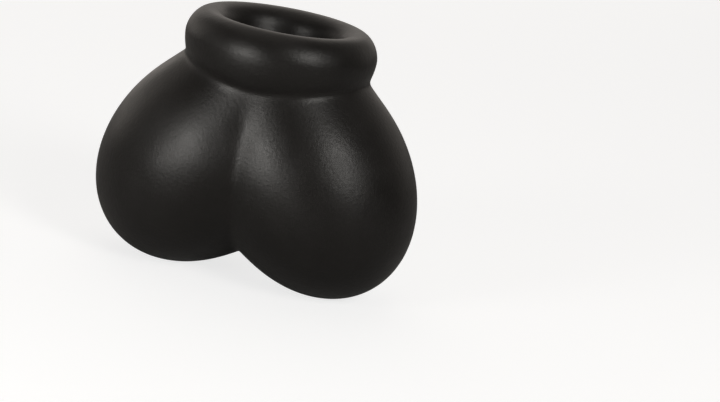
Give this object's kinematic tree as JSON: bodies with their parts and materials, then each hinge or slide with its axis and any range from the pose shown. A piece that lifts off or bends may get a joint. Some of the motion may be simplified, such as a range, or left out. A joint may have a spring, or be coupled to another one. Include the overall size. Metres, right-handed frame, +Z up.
{
  "type": "hollow silicone sleeve",
  "caption": "Soft hollow sleeve: a thick rolled collar round an open mouth, a short neck and rounded side-by-side lobes with a groove between.",
  "frame": {"origin": "middle of the resting plane, under the mouth", "axes": "+X across the lobes, +Y from the groove's front to its back, +Z up through the mouth"},
  "size_m": [0.103, 0.0628, 0.0824],
  "materials": {
    "silicone": "satin"
  },
  "bodies": {
    "root": {"rolled_collar": "silicone", "neck_band": "silicone", "left_lobe": "silicone", "right_lobe": "silicone"}
  },
  "joints": []
}
